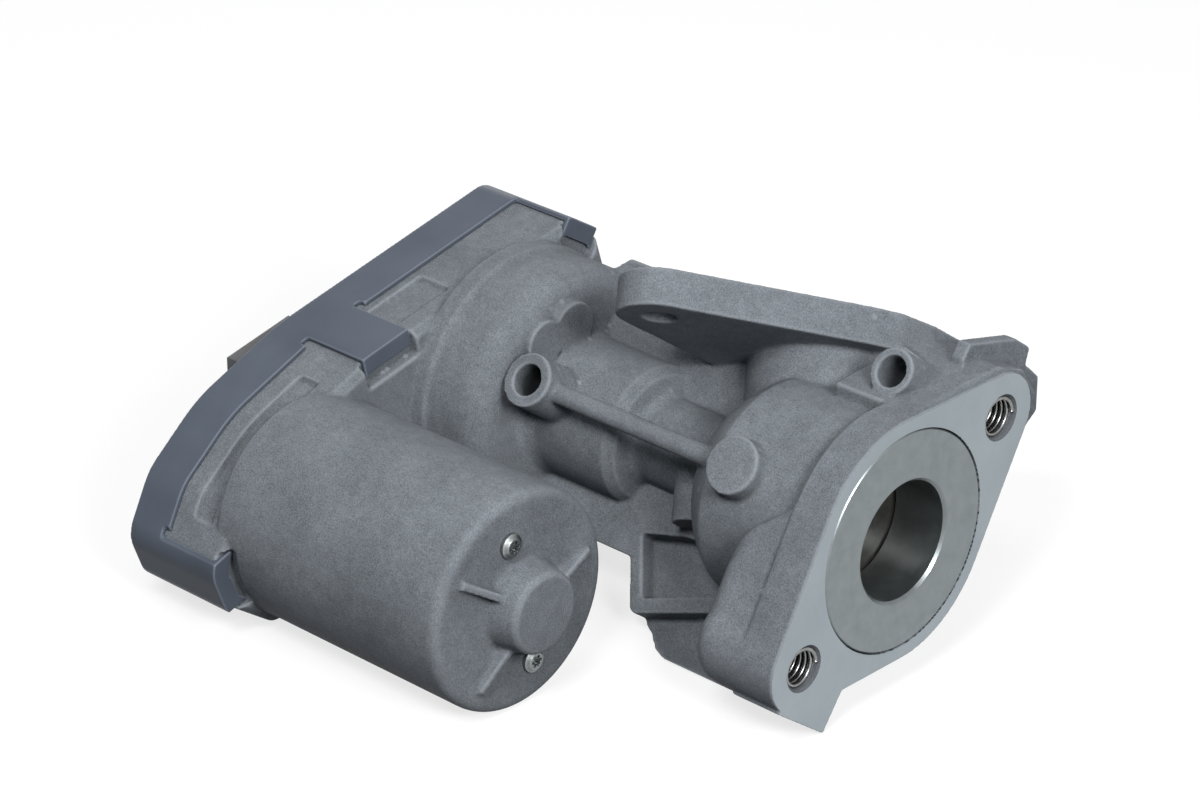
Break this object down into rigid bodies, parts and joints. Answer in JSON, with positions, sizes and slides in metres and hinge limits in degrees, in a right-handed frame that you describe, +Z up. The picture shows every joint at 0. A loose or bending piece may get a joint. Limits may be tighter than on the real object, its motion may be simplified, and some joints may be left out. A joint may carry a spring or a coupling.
{
  "type": "exhaust gas recirculation valve",
  "caption": "Motor-driven exhaust gas recirculation valve: cast body with an oval flange and seat ring, side outlet plate, motor can, gear case, clamp band and connector cover.",
  "frame": {"origin": "centre of the seat ring on the exhaust flange face", "axes": "+X along the valve axis out of the exhaust flange, +Z up as it lies on a bench"},
  "size_m": [0.168, 0.161, 0.0862],
  "materials": {
    "cast_alloy": "grainy as-cast",
    "ring_steel": "turned",
    "insert_steel": "bright wire",
    "valve_steel": "ground",
    "bush_metal": "sintered",
    "seal_rubber": "matt",
    "guide_plastic": "moulded",
    "drum_plastic": "moulded",
    "gear_plastic": "moulded",
    "spring_steel": "drawn wire",
    "pin_steel": "ground",
    "motor_steel": "zinc plated sheet",
    "magnet_grey": "sintered",
    "core_steel": "stacked sheet",
    "copper": "enamelled wire",
    "carbon": "pressed",
    "screw_zinc": "bright zinc",
    "cover_plastic": "moulded",
    "band_steel": "smooth dark coat",
    "board_green": "lacquered",
    "contact_tin": "tinned"
  },
  "bodies": {
    "housing": {"valve_body": "cast_alloy", "seat_ring": "ring_steel", "thread_insert_1": "insert_steel", "thread_insert_2": "insert_steel", "stem_bush": "bush_metal", "stem_seal": "seal_rubber", "guide_sleeve": "guide_plastic", "drum_bearing": "pin_steel", "pivot_pin": "pin_steel", "return_spring": "spring_steel", "intermediate_axle": "pin_steel", "motor_yoke": "motor_steel", "motor_magnet_1": "magnet_grey", "motor_magnet_2": "magnet_grey", "motor_bearing_front": "bush_metal", "motor_bearing_rear": "bush_metal", "brush_plate": "cover_plastic", "motor_brush_1": "carbon", "motor_brush_2": "carbon", "motor_terminal_1": "contact_tin", "motor_terminal_2": "contact_tin", "motor_screw_1": "screw_zinc", "motor_screw_2": "screw_zinc", "gear_cover": "cover_plastic", "cover_gasket": "seal_rubber", "clamp_band": "band_steel", "sensor_board": "board_green", "connector_contact_1": "contact_tin", "connector_contact_2": "contact_tin", "connector_contact_3": "contact_tin", "connector_contact_4": "contact_tin", "connector_contact_5": "contact_tin"},
    "drive": {"cam_drum": "drum_plastic", "drive_gear": "gear_plastic", "sensor_magnet": "magnet_grey"},
    "valve": {"valve_disc": "valve_steel", "valve_stem": "valve_steel", "stem_crosshead": "guide_plastic", "cross_pin": "pin_steel", "cam_follower_1": "pin_steel", "cam_follower_2": "pin_steel"},
    "idler": {"intermediate_gear": "gear_plastic"},
    "rotor": {"armature_core": "core_steel", "armature_winding": "copper", "commutator": "copper", "motor_shaft": "pin_steel", "motor_pinion": "bush_metal"}
  },
  "joints": [
    {"name": "drum_turn", "type": "hinge", "parent": "housing", "child": "drive", "pos_m": [-0.112, 0, 0], "axis": [1, 0, 0], "range_deg": [0, 90], "stiffness_Nm_per_rad": 0.08, "springref_deg": -28.65},
    {"name": "valve_slide", "type": "slide", "parent": "housing", "child": "valve", "axis": [-1, 0, 0], "range_m": [0, 0.0075]},
    {"name": "idler_turn", "type": "hinge", "parent": "housing", "child": "idler", "pos_m": [-0.13, -0.02918, -0.00695], "axis": [1, 0, 0], "range_deg": [-308, 0]},
    {"name": "rotor_turn", "type": "hinge", "parent": "housing", "child": "rotor", "pos_m": [-0.1, -0.05976, -0.01061], "axis": [1, 0, 0], "range_deg": [0, 768]}
  ],
  "couplings": [
    {"joint": "valve_slide", "follows": "drum_turn", "m_per_rad": 0.0047746},
    {"joint": "idler_turn", "follows": "drum_turn", "ratio": -3.4118},
    {"joint": "rotor_turn", "follows": "drum_turn", "ratio": 8.5294}
  ]
}
